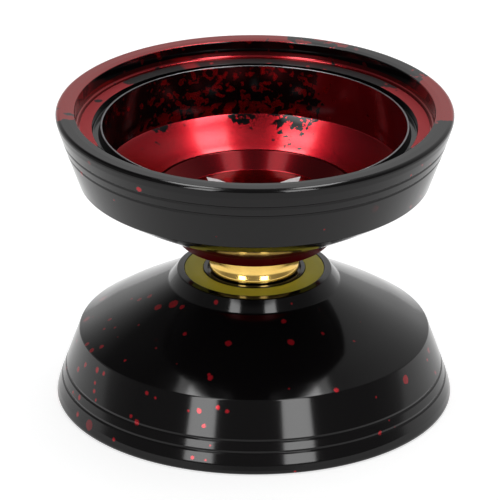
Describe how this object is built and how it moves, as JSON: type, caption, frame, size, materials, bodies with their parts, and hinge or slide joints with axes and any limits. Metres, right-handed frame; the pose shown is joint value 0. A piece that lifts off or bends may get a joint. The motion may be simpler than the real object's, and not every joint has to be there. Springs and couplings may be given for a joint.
{
  "type": "ball-bearing yo-yo",
  "caption": "Turned aluminium ball-bearing yo-yo with deep cupped halves, a concave centre bearing and silicone response pads, standing on one rim.",
  "frame": {"origin": "centre of the bearing, half-way between the two halves on the spin axis", "axes": "+Z along the spin axis, from the lower half to the upper half; X and Y are any two radial directions"},
  "size_m": [0.056, 0.056, 0.0434],
  "materials": {
    "splash_anodised": "gloss black anodising splashed with translucent red",
    "gold_plated": "polished gold-coloured plating",
    "bearing_steel": "ground and polished steel",
    "axle_steel": "plain stainless steel with rolled thread",
    "shield_steel": "satin pressed steel",
    "pad_silicone": "matte silicone, olive mustard",
    "cage_nylon": "natural moulded nylon"
  },
  "bodies": {
    "lower_side": {"lower_half": "splash_anodised", "response_pad_lower": "pad_silicone", "axle": "axle_steel", "bearing_inner_race": "bearing_steel"},
    "upper_side": {"upper_half": "splash_anodised", "response_pad_upper": "pad_silicone"},
    "outer_race": {"bearing_outer_race": "gold_plated", "bearing_shield_lower": "shield_steel", "bearing_shield_upper": "shield_steel", "shield_circlip_lower": "shield_steel", "shield_circlip_upper": "shield_steel"},
    "cage": {"ball_cage": "cage_nylon"},
    "ball_1": {"bearing_ball_1": "bearing_steel"},
    "ball_2": {"bearing_ball_2": "bearing_steel"},
    "ball_3": {"bearing_ball_3": "bearing_steel"},
    "ball_4": {"bearing_ball_4": "bearing_steel"},
    "ball_5": {"bearing_ball_5": "bearing_steel"},
    "ball_6": {"bearing_ball_6": "bearing_steel"},
    "ball_7": {"bearing_ball_7": "bearing_steel"},
    "ball_8": {"bearing_ball_8": "bearing_steel"}
  },
  "joints": [
    {"name": "bearing_spin", "type": "hinge", "parent": "lower_side", "child": "outer_race", "pos_m": [0, 0, 0], "axis": [0, 0, 1], "continuous": true},
    {"name": "cage_spin", "type": "hinge", "parent": "lower_side", "child": "cage", "pos_m": [0, 0, 0], "axis": [0, 0, 1], "continuous": true},
    {"name": "ball_1_roll", "type": "hinge", "parent": "cage", "child": "ball_1", "pos_m": [0.00476, 0, 0], "axis": [0, 0, 1], "continuous": true},
    {"name": "ball_2_roll", "type": "hinge", "parent": "cage", "child": "ball_2", "pos_m": [0.00337, 0.00337, 0], "axis": [0, 0, 1], "continuous": true},
    {"name": "ball_3_roll", "type": "hinge", "parent": "cage", "child": "ball_3", "pos_m": [0, 0.00476, 0], "axis": [0, 0, 1], "continuous": true},
    {"name": "ball_4_roll", "type": "hinge", "parent": "cage", "child": "ball_4", "pos_m": [-0.00337, 0.00337, 0], "axis": [0, 0, 1], "continuous": true},
    {"name": "ball_5_roll", "type": "hinge", "parent": "cage", "child": "ball_5", "pos_m": [-0.00476, 0, 0], "axis": [0, 0, 1], "continuous": true},
    {"name": "ball_6_roll", "type": "hinge", "parent": "cage", "child": "ball_6", "pos_m": [-0.00337, -0.00337, 0], "axis": [0, 0, 1], "continuous": true},
    {"name": "ball_7_roll", "type": "hinge", "parent": "cage", "child": "ball_7", "pos_m": [0, -0.00476, 0], "axis": [0, 0, 1], "continuous": true},
    {"name": "ball_8_roll", "type": "hinge", "parent": "cage", "child": "ball_8", "pos_m": [0.00337, -0.00337, 0], "axis": [0, 0, 1], "continuous": true},
    {"name": "upper_half_unscrewed", "type": "slide", "parent": "lower_side", "child": "upper_side", "axis": [0, 0, 1], "range_m": [0, 0.016]}
  ],
  "couplings": [
    {"joint": "cage_spin", "follows": "bearing_spin", "ratio": 0.58336},
    {"joint": "ball_1_roll", "follows": "bearing_spin", "ratio": 2.9157},
    {"joint": "ball_2_roll", "follows": "bearing_spin", "ratio": 2.9157},
    {"joint": "ball_3_roll", "follows": "bearing_spin", "ratio": 2.9157},
    {"joint": "ball_4_roll", "follows": "bearing_spin", "ratio": 2.9157},
    {"joint": "ball_5_roll", "follows": "bearing_spin", "ratio": 2.9157},
    {"joint": "ball_6_roll", "follows": "bearing_spin", "ratio": 2.9157},
    {"joint": "ball_7_roll", "follows": "bearing_spin", "ratio": 2.9157},
    {"joint": "ball_8_roll", "follows": "bearing_spin", "ratio": 2.9157}
  ]
}
